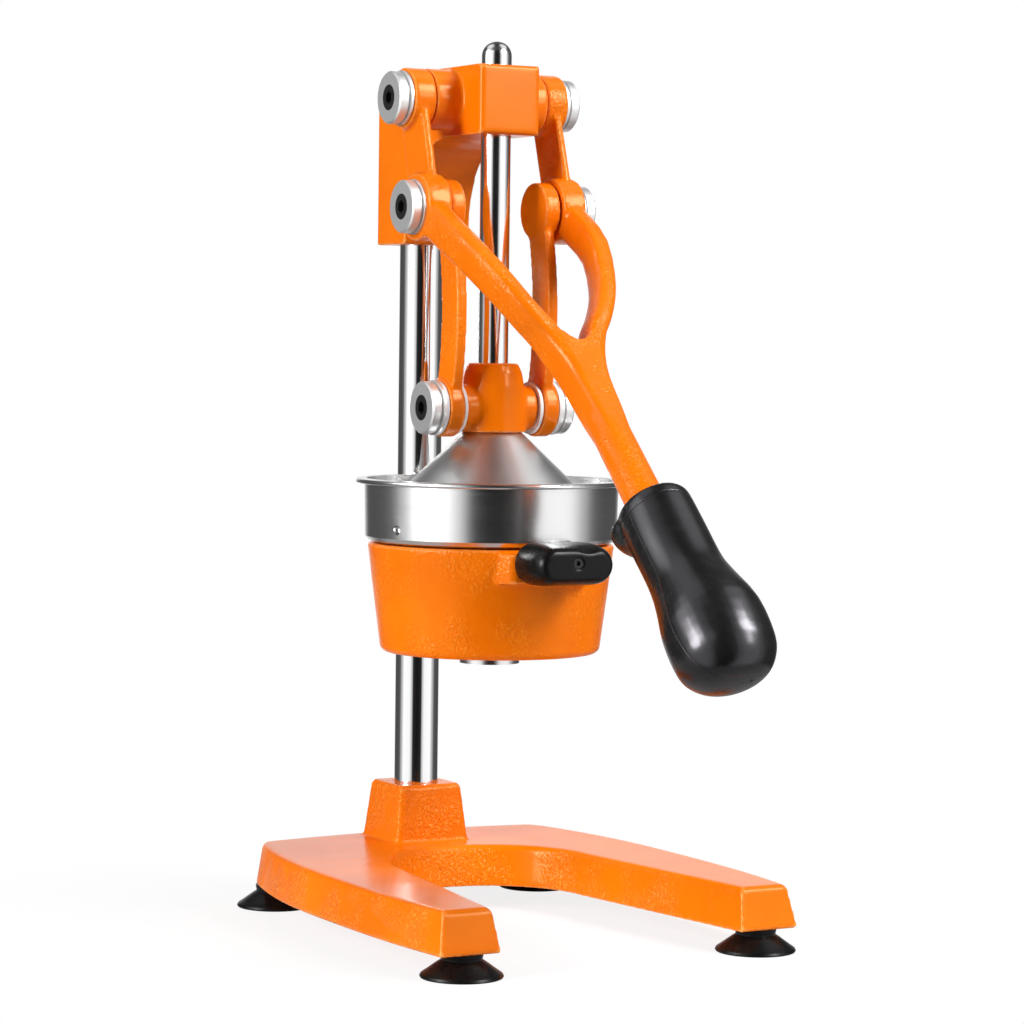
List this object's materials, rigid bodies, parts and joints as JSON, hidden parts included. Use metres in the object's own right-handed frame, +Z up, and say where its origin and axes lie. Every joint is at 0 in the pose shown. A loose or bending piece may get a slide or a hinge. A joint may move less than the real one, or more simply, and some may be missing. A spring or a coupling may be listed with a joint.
{
  "type": "lever citrus press",
  "caption": "Counter-top lever press for citrus fruit: forked lever and links drive a ram with a press cone into a strainer bowl over a cup with a spout, on a horseshoe base.",
  "frame": {"origin": "on the ram's axis at the counter plane, straight under the juice spout", "axes": "+Z up along the ram, front along -Y where the lever and the bay open, +X to the right seen from the front"},
  "size_m": [0.1794, 0.3105, 0.3885],
  "materials": {
    "orange_paint": "glossy orange paint with a light hammered texture on castings",
    "bright_steel": "polished chrome plate",
    "stainless_sheet": "spun and brushed stainless sheet",
    "cap_metal": "turned satin metal",
    "black_steel": "black oxide screws",
    "plated_steel": "zinc plated",
    "white_nylon": "natural white plastic",
    "black_plastic": "smooth black, soft gloss",
    "black_rubber": "smooth black rubber"
  },
  "bodies": {
    "frame": {"base": "orange_paint", "column": "bright_steel", "column_bolt": "plated_steel", "column_washer": "plated_steel", "foot_front_left": "black_rubber", "foot_front_right": "black_rubber", "foot_rear_left": "black_rubber", "foot_rear_right": "black_rubber", "foot_studs": "plated_steel", "head": "orange_paint", "head_set_screws": "black_steel", "top_cap_left": "cap_metal", "top_cap_right": "cap_metal", "top_bolt_left": "black_steel", "top_bolt_right": "black_steel", "cup": "orange_paint", "cup_set_screw": "black_steel", "cup_grip": "black_plastic", "cup_grip_screw": "black_steel", "juice_bowl": "stainless_sheet", "strainer": "stainless_sheet"},
    "lever": {"lever": "orange_paint", "lever_grip": "black_plastic", "mid_cap_left": "cap_metal", "mid_cap_right": "cap_metal", "mid_bolt_left": "black_steel", "mid_bolt_right": "black_steel"},
    "ram": {"ram": "bright_steel", "hub": "orange_paint", "hub_set_screw": "black_steel", "press_cone": "stainless_sheet", "cone_screw": "plated_steel", "low_cap_left": "cap_metal", "low_cap_right": "cap_metal", "low_bolt_left": "black_steel", "low_bolt_right": "black_steel", "washers_left": "white_nylon", "washers_right": "white_nylon"},
    "link_left": {"link_left": "orange_paint"},
    "link_right": {"link_right": "orange_paint"}
  },
  "joints": [
    {"name": "lever_swing", "type": "hinge", "parent": "frame", "child": "lever", "pos_m": [0, 0.0157, 0.36276], "axis": [-1, 0, 0], "range_deg": [0, 100]},
    {"name": "ram_slide", "type": "slide", "parent": "frame", "child": "ram", "axis": [0, 0, 1], "range_m": [0, 0.07536]},
    {"name": "link_left_swing", "type": "hinge", "parent": "ram", "child": "link_left", "pos_m": [0, 0, 0.2279], "axis": [1, 0, 0], "range_deg": [0, 20.25]},
    {"name": "link_right_swing", "type": "hinge", "parent": "ram", "child": "link_right", "pos_m": [0, 0, 0.2279], "axis": [1, 0, 0], "range_deg": [0, 20.25]}
  ],
  "couplings": [
    {"joint": "ram_slide", "follows": "lever_swing", "m_per_rad": 0.043173},
    {"joint": "link_left_swing", "follows": "lever_swing", "ratio": 0.20244},
    {"joint": "link_right_swing", "follows": "lever_swing", "ratio": 0.20244}
  ]
}
